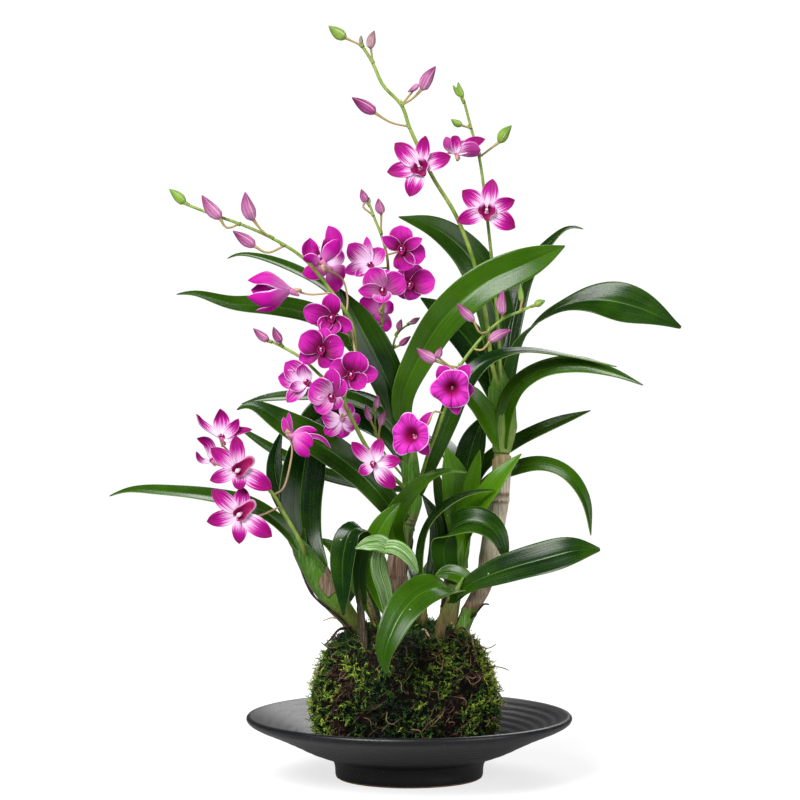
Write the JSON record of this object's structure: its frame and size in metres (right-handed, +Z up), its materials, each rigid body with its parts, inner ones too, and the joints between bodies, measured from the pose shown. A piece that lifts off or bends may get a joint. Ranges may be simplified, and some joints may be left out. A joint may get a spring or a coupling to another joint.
{
  "type": "potted dendrobium orchid",
  "caption": "Dendrobium orchid in flower, growing from a ball of moss that stands in a shallow footed stoneware dish.",
  "frame": {"origin": "centre of the dish's foot, on the face it stands on", "axes": "+Z up; the front of the plant faces -Y and its longest leaf reaches out to -X"},
  "size_m": [0.3694, 0.2263, 0.4867],
  "materials": {
    "stoneware": "satin black glaze",
    "moss": "matt tufted moss over root fibres",
    "leaf": "waxy, semi-gloss",
    "cane": "dry papery sheath",
    "flower_stem": "smooth, semi-gloss",
    "petal_star": "soft sheen, pale at the heart",
    "petal_round": "soft sheen, dark at the heart",
    "root": "dry and rough"
  },
  "bodies": {
    "root": {"centre_cane": "cane", "right_cane": "cane", "back_cane": "cane", "left_shoot": "leaf", "centre_shoot": "leaf", "small_shoot": "leaf", "thin_shoot": "leaf", "right_shoot": "leaf", "back_shoot": "leaf", "front_shoot": "leaf", "young_shoot": "leaf", "drooping_shoot": "leaf", "low_left_shoot": "leaf", "low_back_shoot": "leaf", "dish": "stoneware", "moss_ball": "moss", "aerial_roots": "root", "spray_upper_left": "flower_stem", "spray_left": "flower_stem", "spray_middle": "flower_stem", "spray_small": "flower_stem", "spray_tall": "flower_stem", "spray_straight": "flower_stem", "spray_right": "flower_stem", "spray_low_left": "flower_stem", "spray_centre": "flower_stem", "bloom_star_top": "petal_star", "bloom_star_second": "petal_star", "bloom_star_left": "petal_star", "bloom_star_low": "petal_star", "bloom_star_upright": "petal_star", "bloom_star_hidden": "petal_star", "bloom_star_centre": "petal_star", "bloom_cup_top": "petal_star", "bloom_bell_upper": "petal_round", "bloom_back_upper": "petal_round", "bloom_bell_left": "petal_round", "bloom_round_upper": "petal_round", "bloom_round_left": "petal_round", "bloom_round_centre": "petal_round", "bloom_round_lower": "petal_round", "bloom_pale_left": "petal_round", "bloom_back_lower": "petal_round", "bloom_round_top": "petal_round", "bloom_round_right": "petal_round", "bloom_round_middle": "petal_round", "bloom_pale_middle": "petal_round", "bloom_back_middle": "petal_round", "bloom_nodding": "petal_star", "bloom_cup_centre": "petal_round", "bloom_cup_right": "petal_round"}
  },
  "joints": []
}
